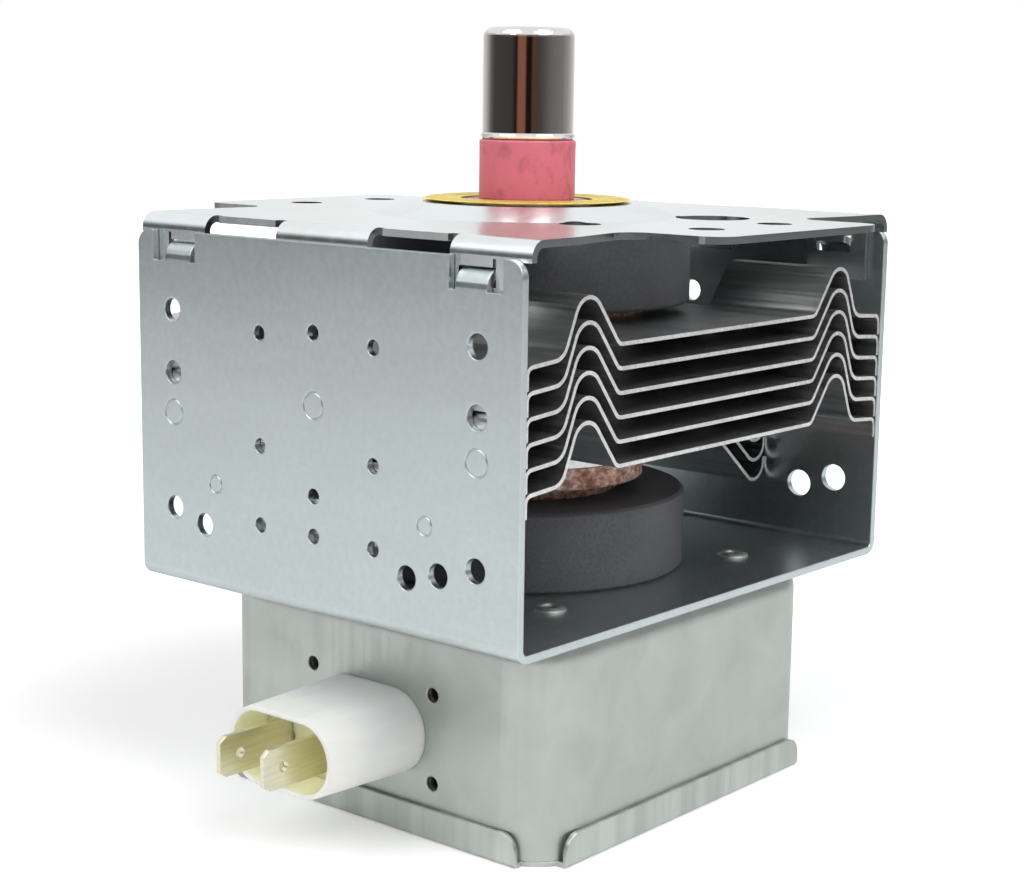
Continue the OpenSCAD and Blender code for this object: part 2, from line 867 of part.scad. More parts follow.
// Lid pressed over the box's open side
module filter_box_lid() {
    g = slip;
    cx = box_x / 2 - box_r;
    cy = box_y / 2 - box_r;
    color("LightGray")
        translate([0, 0, box_z0]) {
            linear_extrude(box_t)
                polygon(concat(
                    arc([cx, cy], box_r, 0, 90, 8),
                    arc([-cx, cy], box_r, 90, 180, 8),
                    arc([-cx, -cy], box_r, 180, 270, 8),
                    arc([cx, -cy], box_r, 270, 360, 8)
                ));
            for (s = [0, 1])
                rotate([0, 0, 180 * s]) {
                    translate([-box_x / 2 + 5, cy, 0])
                        cube([box_x - 10, box_y / 2 + g - cy, box_t]);
                    translate([cx, -box_y / 2 + 4.5, 0])
                        cube([box_x / 2 + g - cx, box_y - 9, box_t]);
                    lid_side(box_x - 10, box_y / 2 + g);
                    rotate([0, 0, -90])
                        lid_side(box_y - 9, box_x / 2 + g);
                }
        }
}

// Earthed plate against the inside of the box's wall, with holes behind the wall's four small ones
module capacitor_flange() {
    color("Silver")
        at_connector()
            difference() {
                translate([-16.5, -9.8, -box_t - 1])
                    cube([33, 19.6, 1]);
                oval(4.05, 4.05, -3, 1);
                for (x = [-1, 1], y = [-1, 1])
                    translate([x * 13.1, y * 7.15, -4])
                        cylinder(h = 6, r = 1.2);
            }
}

// Both feed-through capacitors in one oval of ceramic
module capacitor_ceramic() {
    color("Tan")
        at_connector()
            difference() {
                oval(4, 4, -6, 5);
                for (s = [-1, 1])
                    translate([s * blade_x, 0, -8])
                        cylinder(h = 15, r = 0.9 + slip);
            }
}

// White housing outside the box, narrowing toward its open end, with a neck in the wall
module capacitor_housing() {
    color("White")
        at_connector()
            difference() {
                union() {
                    oval(oval_r, oval_r - 0.65, 0, conn_len);
                    oval(oval_r - 0.55, oval_r - 0.55, -box_t, 0);
                }
                oval(5.45, 5.45, -2, conn_len + 1);
            }
}

// Housing of the capacitor's inner end, inside the box
module capacitor_inner_case() {
    color("White")
        at_connector()
            difference() {
                oval(oval_r - 0.6, oval_r - 0.6, -box_t - 12, -box_t - 1);
                oval(5.45, 5.45, -box_t - 13, 0);
            }
}

// Resin around the ceramic, in front of the plate and behind it
module potting_resin() {
    color("LemonChiffon")
        at_connector()
            difference() {
                union() {
                    oval(5.45, 5.45, -box_t, conn_len - 7);
                    oval(5.45, 5.45, -box_t - 11, -box_t - 1);
                }
                oval(4, 4, -6, 5);
                for (s = [-1, 1])
                    translate([s * blade_x, 0, 0]) {
                        translate([0, 0, -15])
                            cylinder(h = 30, r = 0.9 + slip);
                        translate([-0.4 - slip, -3.175 - slip, conn_len - 10])
                            cube([0.8 + 2 * slip, 6.35 + 2 * slip, 10]);
                    }
            }
}

// Two flat blades with chamfered tips, each on a rod that runs through the capacitor
module terminal_blades() {
    w = 6.35;
    color("Silver")
        at_connector()
            for (s = [-1, 1])
                translate([s * blade_x, 0, 0]) {
                    rotate([90, 0, 90])
                        translate([0, 0, -0.4])
                            linear_extrude(0.8)
                                difference() {
                                    polygon([
                                        [-w / 2, conn_len - 10], [w / 2, conn_len - 10],
                                        [w / 2, blade_len - 1.2], [w / 2 - 0.9, blade_len],
                                        [0.9 - w / 2, blade_len], [-w / 2, blade_len - 1.2]
                                    ]);
                                    translate([0, blade_len - 4])
                                        circle(0.8);
                                }
                    translate([0, 0, -16])
                        cylinder(h = conn_len + 6.2, r = 0.9);
                }
}

// Copper choke coils lying in the filter box
module choke_coils() {
    color("Chocolate")
        for (s = [0, 1])
            mirror([s, 0, 0])
                translate([choke_x, choke_y0, conn_z])
                    rotate([-90, 0, 0])
                        rotate([0, 0, 180])
                            coil(choke_r, choke_wire, choke_len, 7, 14);
}

// Flattened ends of the +X choke: from the capacitor's rod to the coil, and on to the stem's lead at x = tx
module choke_wire_ends(tx) {
    r = choke_wire / 2;
    x = choke_x - choke_r - r;
    y = -box_y / 2 + 16;
    y1 = choke_y0 + choke_len;
    translate([0, 0, conn_z - r])
        linear_extrude(choke_wire) {
            polygon(strip(
                [[blade_x, y], [blade_x, y + 1.6], [x, choke_y0 - 1.5], [x, choke_y0 - slip]],
                choke_wire
            ));
            polygon(strip([[x, y1 + slip], [x, y1 + 1.5], [tx + lead_r + r + 0.1, 0]], choke_wire));
        }
}

module choke_leads() {
    color("Chocolate") {
        choke_wire_ends(side_x);
        mirror([1, 0, 0])
            choke_wire_ends(0);
    }
}

// Ferrite rod inside each choke
module choke_cores() {
    color("DimGray")
        for (s = [-1, 1])
            translate([s * choke_x, choke_y0 - 2, conn_z])
                rotate([-90, 0, 0])
                    cylinder(h = choke_len + 4, r = choke_r - 0.2);
}

yoke_frame();
yoke_top_plate();
upper_magnet();
lower_magnet();
cooling_fin(1);  // cooling_fin_1
cooling_fin(2);  // cooling_fin_2
cooling_fin(3);  // cooling_fin_3
cooling_fin(4);  // cooling_fin_4
cooling_fin(5);  // cooling_fin_5
cooling_fin(6);  // cooling_fin_6
anode_cylinder();
anode_vanes();
strap_rings();
upper_pole_piece();
lower_pole_piece();
upper_seal_shell();
lower_seal_shell();
antenna_lead();
antenna_insulator();
exhaust_tube();
antenna_cap();
gasket_ring();
filament();
upper_end_hat();
lower_end_hat();
centre_lead();
side_lead();
stem_ceramic();
filter_box();
filter_box_lid();
capacitor_flange();
capacitor_ceramic();
capacitor_housing();
capacitor_inner_case();
potting_resin();
terminal_blades();
choke_coils();
choke_leads();
choke_cores();
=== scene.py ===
import math

import bpy
from bpy.props import FloatProperty, FloatVectorProperty, IntProperty, PointerProperty
from mathutils import Matrix, Vector


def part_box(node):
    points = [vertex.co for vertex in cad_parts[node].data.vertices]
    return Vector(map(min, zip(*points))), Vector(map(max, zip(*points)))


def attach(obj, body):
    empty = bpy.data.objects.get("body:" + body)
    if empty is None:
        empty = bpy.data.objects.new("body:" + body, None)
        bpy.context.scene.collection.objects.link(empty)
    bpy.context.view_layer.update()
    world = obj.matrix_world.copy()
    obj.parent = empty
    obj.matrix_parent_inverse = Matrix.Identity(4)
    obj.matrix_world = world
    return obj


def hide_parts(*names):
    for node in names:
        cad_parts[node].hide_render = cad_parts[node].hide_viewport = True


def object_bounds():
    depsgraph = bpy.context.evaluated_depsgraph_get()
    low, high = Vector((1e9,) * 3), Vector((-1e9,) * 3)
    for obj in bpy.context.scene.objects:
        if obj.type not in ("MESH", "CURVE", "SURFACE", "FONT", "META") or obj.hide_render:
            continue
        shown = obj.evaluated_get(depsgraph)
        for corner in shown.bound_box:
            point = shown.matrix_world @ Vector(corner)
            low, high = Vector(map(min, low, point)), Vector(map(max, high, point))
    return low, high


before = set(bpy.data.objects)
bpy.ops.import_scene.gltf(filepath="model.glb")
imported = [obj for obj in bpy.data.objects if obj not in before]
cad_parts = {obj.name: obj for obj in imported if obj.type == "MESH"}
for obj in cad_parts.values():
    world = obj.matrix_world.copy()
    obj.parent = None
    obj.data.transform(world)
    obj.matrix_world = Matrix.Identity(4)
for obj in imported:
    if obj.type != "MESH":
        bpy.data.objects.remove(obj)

bl_info = {
    "name": "Cooker magnetron",
    "version": (1, 0, 0),
    "blender": (4, 5, 0),
    "location": "View3D > Sidebar > Magnetron",
    "description": "Finishes, woven gasket and studio of a cooker magnetron",
    "category": "Add Mesh",
}

CAD_BOX = [list(corner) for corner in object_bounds()]
MM = 0.001

# The camera, solved from the photograph's edges: place in m, angles given in degrees, lens and sensor in mm.
CAMERA_PLACE = (0.21304, -0.25670, 0.02011)
CAMERA_AZIMUTH, CAMERA_ELEVATION, CAMERA_ROLL = (math.radians(a) for a in (40.012, 10.170, -0.795))
CAMERA_LENS, CAMERA_SENSOR = 70.32, 36

# The soft lights: sizes in m, and each one's angle in degrees to the right of the camera's direction from the axis.
SOFTBOX_SIZE, SOFTBOX_DISTANCE, SOFTBOX_HEIGHT = 0.7, 0.66, 0.76
SOFTBOX_LEFT, SOFTBOX_RIGHT = -58, 48
SOFTBOX_AIM = (0, 0, -0.03)

# The dark wall that the metal mirrors, which glows with painted colours: sizes in m, and the heights in mm between
# which it fades into the white room.
ROOM_RADIUS, ROOM_HEIGHT = 1.0, 0.52
ROOM_FADE = (180, 500)

# The floor's size in m and its own glow: near the part and far from it as the camera sees it, the distances in mm
# between which the one turns into the other, and the glow that mirrored rays see.
FLOOR_SIZE = 6
FLOOR_NEAR, FLOOR_FAR = 0.22, 0.7
FLOOR_REACH = (130, 420)
FLOOR_MIRRORED = 0.12


def linear(code):
    """Linear colour of an sRGB hex value."""
    parts = [int(code[i:i + 2], 16) / 255 for i in (1, 3, 5)]
    return [c / 12.92 if c <= 0.04045 else ((c + 0.055) / 1.055) ** 2.4 for c in parts]


def colour(name, description, code):
    return FloatVectorProperty(name=name, description=description, default=linear(code), size=3,
                               min=0, max=1, subtype="COLOR")


class MagnetronColours(bpy.types.PropertyGroup):
    zinc: colour("Zinc plate", "Base colour of the folded yoke", "#C3CCCD")
    bright: colour("Bright plate", "Base colour of the mounting plate", "#E4EAED")
    drawn: colour("Drawn steel", "Base colour of the filter box and its lid", "#BFC5C1")
    fins: colour("Fin sheet", "Base colour of the aluminium fins", "#DEDFDF")
    ferrite: colour("Ferrite", "Base colour of the ring magnets", "#525256")
    copper: colour("Copper", "Base colour of the bare copper pieces", "#C77B58")
    rust: colour("Brazed rim", "Base colour of the tube's brazed rims", "#B28F82")
    ceramic: colour("Pink alumina", "Body colour of the insulator", "#D56679")
    cap: colour("Polished cap", "Base colour of the antenna cap", "#E2DFDB")
    brass: colour("Brass wire", "Colour of the woven gasket", "#F2DB6C")
    housing: colour("White moulding", "Body colour of the connector", "#F4F5EF")
    resin: colour("Potting resin", "Body colour of the resin round the tabs", "#FFFDD2")
    # The tin's warm tint is in part a painted reflection of the yellow potting resin.
    tin: colour("Tin plate", "Base colour of the tabs", "#E2DEC8")


class MagnetronSizes(bpy.types.PropertyGroup):
    wire_d: FloatProperty(name="Gasket wire", description="Diameter of one wire of the gasket",
                          default=0.24 * MM, min=0.0001, max=0.001, unit="LENGTH", precision=5)
    loops: IntProperty(name="Gasket loops", description="Wire loops round the gasket in each slant",
                       default=150, min=24, max=240)
    slant: FloatProperty(name="Gasket slant", description="Slant of the loops to the ring's axis plane",
                         default=math.radians(34), subtype="ANGLE")
    hole: FloatProperty(name="Gasket hole", description="Radius of the hole in the gasket",
                        default=10.7 * MM, min=0.008, max=0.014, unit="LENGTH", precision=5)


class MagnetronStudio(bpy.types.PropertyGroup):
    left_power: FloatProperty(name="Left softbox", description="Power of the soft light at the upper left",
                              default=3.8, min=0, unit="POWER")
    right_power: FloatProperty(name="Right softbox", description="Power of the soft light at the upper right",
                               default=6.2, min=0, unit="POWER")
    ambient: FloatProperty(name="Ambient", description="Strength of the room's own light", default=0.55, min=0)


def add(tree, kind, inputs=None, stops=(), **settings):
    """Adds a node with its settings and ramp stops; an input is linked if given a node or socket, and set otherwise."""
    made = tree.nodes.new(kind)
    for key, value in settings.items():
        setattr(made, key, value)
    for key, value in (inputs or {}).items():
        if isinstance(value, bpy.types.Node):
            value = value.outputs[0]
        if isinstance(value, bpy.types.NodeSocket):
            tree.links.new(value, made.inputs[key])
        else:
            made.inputs[key].default_value = value
    for k, (at, rgb) in enumerate(stops):
        stop = made.color_ramp.elements[k] if k < 2 else made.color_ramp.elements.new(at)
        stop.position = at
        stop.color = [*rgb, 1]
    return made


def blank(name):
    """A material with nothing but its output, and object coordinates in millimetres."""
    made = bpy.data.materials.new(name)
    made.use_nodes = True
    tree = made.node_tree
    tree.nodes.clear()
    out = add(tree, "ShaderNodeOutputMaterial")
    place = add(tree, "ShaderNodeTexCoord").outputs["Object"]
    mm = add(tree, "ShaderNodeVectorMath", {0: place, "Scale": 1000.0}, operation="SCALE")
    return made, tree, out.inputs["Surface"], mm


def gains(base, stops):
    """Ramp stops of a colour times gains, each one number or three."""
    return [(at, [min(1.0, c * g) for c, g in zip(base, k if isinstance(k, tuple) else (k, k, k))]) for at, k in stops]


def finish(name, base, layers, rough, bump, edge=None, over=None, **sockets):
    """A surface of noise layers (grain in mm along X, Y, Z; detail; warp; gains), the first of which gives its relief.

    rough, and any socket given as a pair, runs between two values with the relief; bump is the relief's height in mm;
    edge is the radius in mm of broken edges and the gain of their colour; over is a function that tints some faces.
    A range of roughness stays on one side of 0.274, because metal that crosses it is denoised into dark dashes.
    """
    made, tree, out, mm = blank(name)
    relief = tone = None
    for size, detail, warp, stops in layers:
        cells = add(tree, "ShaderNodeMapping", {"Vector": mm, "Scale": [1 / s for s in size]})
        grain = add(tree, "ShaderNodeTexNoise", {"Vector": cells, "Scale": 1.0, "Detail": detail, "Distortion": warp})
        tint = add(tree, "ShaderNodeValToRGB", {"Fac": grain}, gains(base if tone is None else (1, 1, 1), stops))
        relief = relief or grain
        tone = tint if tone is None else add(tree, "ShaderNodeMix", {"Factor": 1.0, 6: tone, 7: tint},
                                             data_type="RGBA", blend_type="MULTIPLY").outputs[2]
    bumped = add(tree, "ShaderNodeBump", {"Height": relief, "Distance": bump * MM})
    if edge:
        # A cut or rolled edge is a little round and rubbed, so it catches light.
        rounded = add(tree, "ShaderNodeBevel", {"Radius": edge[0] * MM}, samples=4)
        face = add(tree, "ShaderNodeNewGeometry").outputs["Normal"]
        turn = add(tree, "ShaderNodeVectorMath", {0: rounded, 1: face}, operation="DOT_PRODUCT").outputs["Value"]
        worn = add(tree, "ShaderNodeMapRange", {"Value": turn, "From Min": 1.0, "From Max": 0.8,
                                                "To Min": 1.0, "To Max": edge[1]})
        tone = add(tree, "ShaderNodeVectorMath", {0: tone, "Scale": worn}, operation="SCALE")
        tree.links.new(rounded.outputs[0], bumped.inputs["Normal"])
    if over:
        tone = over(tree, mm, tone)
    inputs = {}
    for key, value in {"Base Color": tone, "Normal": bumped, "Roughness": rough, **sockets}.items():
        if isinstance(value, tuple):
            value = add(tree, "ShaderNodeMapRange", {"Value": relief, "From Min": 0.3, "From Max": 0.7,
                                                     "To Min": value[0], "To Max": value[1]})
        inputs[key.replace("_", " ")] = value
    skin = add(tree, "ShaderNodeBsdfPrincipled", inputs)
    tree.links.new(skin.outputs[0], out)
    return made


def zinc_plate(look):
    # Zinc-plated cold-rolled sheet: cool satin grey, crystals under a millimetre, faint level smears, rubbed edges.
    return finish("zinc_plated_sheet", look.zinc, [
        ((1.2, 1.2, 1.2), 2.0, 0.3, [(0.3, 0.95), (0.7, 1.04)]),
        ((30, 30, 9), 2.0, 0.5, [(0.3, 0.95), (0.7, 1.03)]),
    ], rough=(0.285, 0.35), bump=0.002, edge=(0.35, 1.2), Metallic=1.0)


def painted_end_light(flat, cut):
    """Painted light and shade by facing: one gain for a sheet's faces and one for its cut ends, which look more along X
    than along Z; a low end gain paints the ends dark as shade, a high one paints them bright as a highlight.
    """
    def tint(tree, mm, tone):
        face = add(tree, "ShaderNodeNewGeometry").outputs["True Normal"]
        face = add(tree, "ShaderNodeVectorMath", {0: face}, operation="ABSOLUTE")
        face = add(tree, "ShaderNodeSeparateXYZ", {0: face})
        along = add(tree, "ShaderNodeMath", {0: face.outputs["X"], 1: face.outputs["Z"]}, operation="SUBTRACT")
        # Ends that face X get the end gain: painted shade on the plate, a painted highlight on the fins.
        gain = add(tree, "ShaderNodeMapRange", {"Value": along, "From Min": 0.08, "From Max": 0.25,
                                                "To Min": flat, "To Max": cut})
        return add(tree, "ShaderNodeVectorMath", {0: tone, "Scale": gain}, operation="SCALE")
    return tint


def bright_plate(look):
    # Bright-plated sheet: near-white and smooth enough to mirror the insulator, fine grain along Y, yellowish film.
    # Its cut ends that face X are painted dark as shade.
    return finish("bright_plated_sheet", look.bright, [
        ((2, 14, 2), 2.0, 0.0, [(0.3, 0.98), (0.7, 1.01)]),
        ((26, 26, 26), 2.0, 0.4, [(0.36, (0.97, 0.96, 0.92)), (0.55, (1.0, 1.0, 1.0))]),
    ], rough=(0.22, 0.265), bump=0.0003, over=painted_end_light(1.0, 0.3), Metallic=1.0)


def drawn_steel(look):
    # Aluminised deep-drawn steel: warmer satin grey, faint upright draw lines, cloudy scuffs, soft bright edges.
    return finish("aluminised_drawn_steel", look.drawn, [
        ((1.0, 1.0, 26), 4.0, 0.0, [(0.3, 0.975), (0.7, 1.02)]),
        ((9, 9, 9), 5.0, 0.6, [(0.3, 0.87), (0.7, 1.06)]),
    ], rough=(0.38, 0.5), bump=0.006, edge=(0.5, 1.08), Metallic=1.0)


def pressed_lid(look):
    # The same steel pressed into a lid: its upturned flange is left with faint upright ripples.
    return finish("aluminised_pressed_lid", look.drawn, [
        ((3.6, 3.6, 60), 2.0, 0.0, [(0.35, 0.86), (0.65, 1.1)]),
        ((10, 10, 10), 4.0, 0.5, [(0.3, 0.93), (0.7, 1.04)]),
    ], rough=(0.34, 0.44), bump=0.35, edge=(0.5, 1.08), Metallic=1.0)


def fin_sheet(look):
    # Rolled aluminium strip: fine rolling lines along X under a dull film of dust, with the cut ends that face X
    # painted brighter than the faces as a highlight.
    return finish("rolled_aluminium_fin", look.fins, [
        ((30, 0.7, 0.7), 4.0, 0.0, [(0.3, 0.78), (0.7, 1.1)]),
        ((9, 9, 9), 3.0, 0.3, [(0.3, 0.82), (0.7, 1.03)]),
    ], rough=(0.3, 0.42), bump=0.004, over=painted_end_light(0.85, 1.1), Metallic=1.0)


def ground_ferrite(look):
    # Sintered strontium ferrite: charcoal grey, ground flat, half-millimetre grit and paler chipped edges.
    return finish("sintered_ferrite", look.ferrite, [
        ((0.5, 0.5, 0.5), 5.0, 0.0, [(0.3, 0.8), (0.7, 1.22)]),
        ((9, 9, 5), 3.0, 0.4, [(0.3, 0.82), (0.7, 1.12)]),
    ], rough=(0.48, 0.62), bump=0.02, edge=(0.4, 1.35), Specular_IOR_Level=0.5)


def bare_copper(look):
    # Bare copper, brazed in hydrogen: salmon metal with darker oxide patches.
    return finish("bare_copper", look.copper, [
        ((3, 3, 3), 4.0, 0.4, [(0.3, 0.6), (0.55, 1.0), (0.75, 1.1)]),
    ], rough=(0.34, 0.46), bump=0.006, Metallic=1.0)


def brazed_rim(look):
    # Brazed steel shell: red-brown copper flash, dark in places and worn to cream-grey blotches in others.
    return finish("coppered_steel_braze", look.rust, [
        ((1.3, 1.3, 0.8), 6.0, 0.4, [(0.3, (0.6, 0.45, 0.4)), (0.45, 1.0), (0.58, (1.6, 1.9, 2.0)),
                                     (0.75, (2.2, 3.2, 3.8))]),
        ((7, 7, 4), 3.0, 0.5, [(0.35, (0.75, 0.6, 0.55)), (0.6, (1.0, 1.0, 1.0))]),
    ], rough=(0.6, 0.42), bump=0.02, edge=(0.5, 1.7), Metallic=(0.3, 0.7))


def pink_alumina(look):
    # Chromium-doped alumina: dense satin pink, faint mottling, grey metal rubs left by handling.
    return finish("pink_alumina", look.ceramic, [
        ((1.6, 1.6, 1.6), 5.0, 0.0, [(0.3, 0.95), (0.7, 1.03)]),
        ((2.2, 2.2, 3.2), 4.0, 0.25, [(0.54, (1.0, 1.0, 1.0)), (0.74, (0.68, 0.62, 0.65))]),
        ((7, 7, 5), 3.0, 0.3, [(0.3, (0.97, 0.93, 0.95)), (0.7, (1.0, 1.04, 1.02))]),
    ], rough=(0.42, 0.56), bump=0.004, edge=(0.3, 1.05), IOR=1.76)


def polished_cap(look):
    # Polished plated steel: a mirror with the faintest upright polishing haze.
    return finish("polished_plated_cap", look.cap, [
        ((0.7, 0.7, 9), 3.0, 0.0, [(0.3, 0.97), (0.7, 1.0)]),
    ], rough=(0.04, 0.07), bump=0.0006, Metallic=1.0)


def brass_wire(look):
    # Knitted brass wire: yellow metal, bright on the crests, brown in the meshes.
    return finish("knitted_brass_wire", look.brass, [
        ((0.9, 0.9, 0.9), 3.0, 0.0, [(0.3, 0.8), (0.55, 1.0), (0.8, 1.12)]),
    ], rough=(0.36, 0.48), bump=0.002, Metallic=0.45)


def white_moulding(look):
    # Glass-filled polyester moulding: satin off-white, lets light through its thin walls, faint flow marks along the
    # draw, and a yellow film of resin up the inside of the socket.
    low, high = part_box("capacitor_housing")
    axis = [(a + b) / 2 / MM for a, b in zip(low, high)]

    def filmed(tree, mm, tone):
        """Tints the faces that look toward the socket's axis."""
        spoke = add(tree, "ShaderNodeVectorMath", {0: mm, 1: axis}, operation="SUBTRACT")
        spoke = add(tree, "ShaderNodeVectorMath", {0: spoke, 1: [1, 0, 1]}, operation="MULTIPLY")
        face = add(tree, "ShaderNodeNewGeometry").outputs["Normal"]
        inward = add(tree, "ShaderNodeVectorMath", {0: spoke, 1: face}, operation="DOT_PRODUCT").outputs["Value"]
        film = add(tree, "ShaderNodeMapRange", {"Value": inward, "From Min": 0.0, "From Max": -2.0})
        return add(tree, "ShaderNodeMix", {"Factor": film, 6: tone, 7: [*look.resin, 1]}, data_type="RGBA").outputs[2]

    return finish("white_polyester_moulding", look.housing, [
        ((2.2, 14, 2.2), 3.0, 0.3, [(0.3, 0.97), (0.7, 1.02)]),
    ], rough=(0.36, 0.46), bump=0.006, edge=(0.5, 1.0), over=filmed, IOR=1.52, Subsurface_Weight=0.6,
        Subsurface_Radius=[1.0, 1.0, 0.8], Subsurface_Scale=0.003)


def cast_resin(look):
    # Cast epoxy: pale yellow-green, glossy, with a wavy meniscus.
    return finish("cast_epoxy", look.resin, [
        ((3, 3, 3), 2.0, 0.0, [(0.3, 0.93), (0.7, 1.03)]),
    ], rough=(0.29, 0.36), bump=0.05, IOR=1.55, Subsurface_Weight=0.6, Subsurface_Radius=[1.0, 1.0, 0.6],
        Subsurface_Scale=0.005)


def tin_plate(look):
    # Tin-plated brass tab: dull silver warmed with a painted reflection of the yellow resin, with length-wise stamping
    # lines.
    return finish("tin_plated_tab", look.tin, [
        ((0.5, 6, 0.5), 4.0, 0.0, [(0.3, 0.9), (0.7, 1.05)]),
    ], rough=(0.3, 0.42), bump=0.004, edge=(0.2, 1.05), Metallic=1.0)


def dress(made, *names):
    """Puts one finish on CAD nodes."""
    for name in names:
        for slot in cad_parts[name].material_slots:
            slot.material = made


def alone():
    """Leaves edit mode with nothing selected."""
    if bpy.context.object and bpy.context.object.mode != "OBJECT":
        bpy.ops.object.mode_set(mode="OBJECT")
    bpy.ops.object.select_all(action="DESELECT")


class MAGNETRON_OT_yoke(bpy.types.Operator):
    """Finish the folded yoke, its mounting plate and the ring magnets"""
    bl_idname = "magnetron.yoke"
    bl_label = "Yoke and magnets"

    def execute(self, context):
        look = context.scene.magnetron_colours
        dress(zinc_plate(look), "yoke_frame")
        dress(bright_plate(look), "yoke_top_plate")
        dress(ground_ferrite(look), "upper_magnet", "lower_magnet", "choke_cores")
        return {"FINISHED"}


class MAGNETRON_OT_fins(bpy.types.Operator):
    """Finish the cooling fins"""
    bl_idname = "magnetron.fins"
    bl_label = "Cooling fins"

    def execute(self, context):
        made = fin_sheet(context.scene.magnetron_colours)
        dress(made, *["cooling_fin_%d" % k for k in range(1, 7)])
        return {"FINISHED"}


class MAGNETRON_OT_tube(bpy.types.Operator):
    """Finish the vacuum tube: anode, shells, leads, insulator and cap"""
    bl_idname = "magnetron.tube"
    bl_label = "Vacuum tube"

    def execute(self, context):
        look = context.scene.magnetron_colours
        dress(bare_copper(look), "anode_cylinder", "anode_vanes", "strap_rings", "antenna_lead", "exhaust_tube",
              "choke_coils", "choke_leads")
        dress(brazed_rim(look), "upper_seal_shell", "lower_seal_shell")
        dress(pink_alumina(look), "antenna_insulator")
        dress(polished_cap(look), "antenna_cap")
        dress(tin_plate(look), "upper_pole_piece", "lower_pole_piece", "filament", "upper_end_hat", "lower_end_hat",
              "centre_lead", "side_lead", "capacitor_flange")
        return {"FINISHED"}


class MAGNETRON_OT_gasket(bpy.types.Operator):
    """Weave the brass gasket round its seat"""
    bl_idname = "magnetron.gasket"
    bl_label = "Woven gasket"

    def execute(self, context):
        sizes = context.scene.magnetron_sizes
        low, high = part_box("gasket_ring")
        half_w = (high.x - sizes.hole) / 2
        half_t = (high.z - low.z) / 2
        middle = (high.x + sizes.hole) / 2
        r = sizes.wire_d / 2
        alone()
        turn = bpy.data.objects.new("gasket_turn", None)
        context.scene.collection.objects.link(turn)
        turn.rotation_euler.z = 2 * math.pi / sizes.loops
        strands = []
        for side in (-1, 1):
            bpy.ops.mesh.primitive_torus_add(major_segments=14, minor_segments=4, major_radius=half_w - r,
                                             minor_radius=r, rotation=(math.pi / 2, 0, 0))
            strand = context.object
            bpy.ops.object.transform_apply(location=False, rotation=True, scale=False)
            bpy.ops.object.mode_set(mode="EDIT")
            bpy.ops.mesh.select_all(action="SELECT")
            bpy.ops.transform.resize(value=(1, 1, (half_t - r) / (half_w - r)))
            bpy.ops.transform.rotate(value=side * sizes.slant, orient_axis="Z", center_override=(0, 0, 0))
            bpy.ops.transform.translate(value=(middle, 0, (low.z + high.z) / 2))
            bpy.ops.object.mode_set(mode="OBJECT")
            rows = strand.modifiers.new("round", "ARRAY")
            rows.use_relative_offset = False
            rows.use_object_offset = True
            rows.offset_object = turn
            rows.count = sizes.loops
            bpy.ops.object.modifier_apply(modifier=rows.name)
            strands.append(strand)
        bpy.ops.mesh.primitive_torus_add(major_segments=96, minor_segments=10, major_radius=middle,
                                         minor_radius=half_w - 2 * r)
        core = context.object
        bpy.ops.object.mode_set(mode="EDIT")
        bpy.ops.mesh.select_all(action="SELECT")
        bpy.ops.transform.resize(value=(1, 1, (half_t - 2 * r) / (half_w - 2 * r)))
        bpy.ops.transform.translate(value=(0, 0, (low.z + high.z) / 2))
        bpy.ops.object.mode_set(mode="OBJECT")
        alone()
        for o in [core, *strands]:
            o.select_set(True)
        context.view_layer.objects.active = core
        bpy.ops.object.join()
        bpy.data.objects.remove(turn)
        core.name = "woven_gasket"
        core.data.materials.clear()
        core.data.materials.append(brass_wire(context.scene.magnetron_colours))
        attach(core, "root")
        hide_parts("gasket_ring")
        return {"FINISHED"}


class MAGNETRON_OT_filter(bpy.types.Operator):
    """Finish the filter box, its lid and the connector"""
    bl_idname = "magnetron.filter"
    bl_label = "Filter box and connector"

    def execute(self, context):
        look = context.scene.magnetron_colours
        dress(drawn_steel(look), "filter_box")
        dress(pressed_lid(look), "filter_box_lid")
        dress(white_moulding(look), "capacitor_housing", "capacitor_inner_case", "capacitor_ceramic", "stem_ceramic")
        dress(cast_resin(look), "potting_resin")
        dress(tin_plate(look), "terminal_blades")
        return {"FINISHED"}


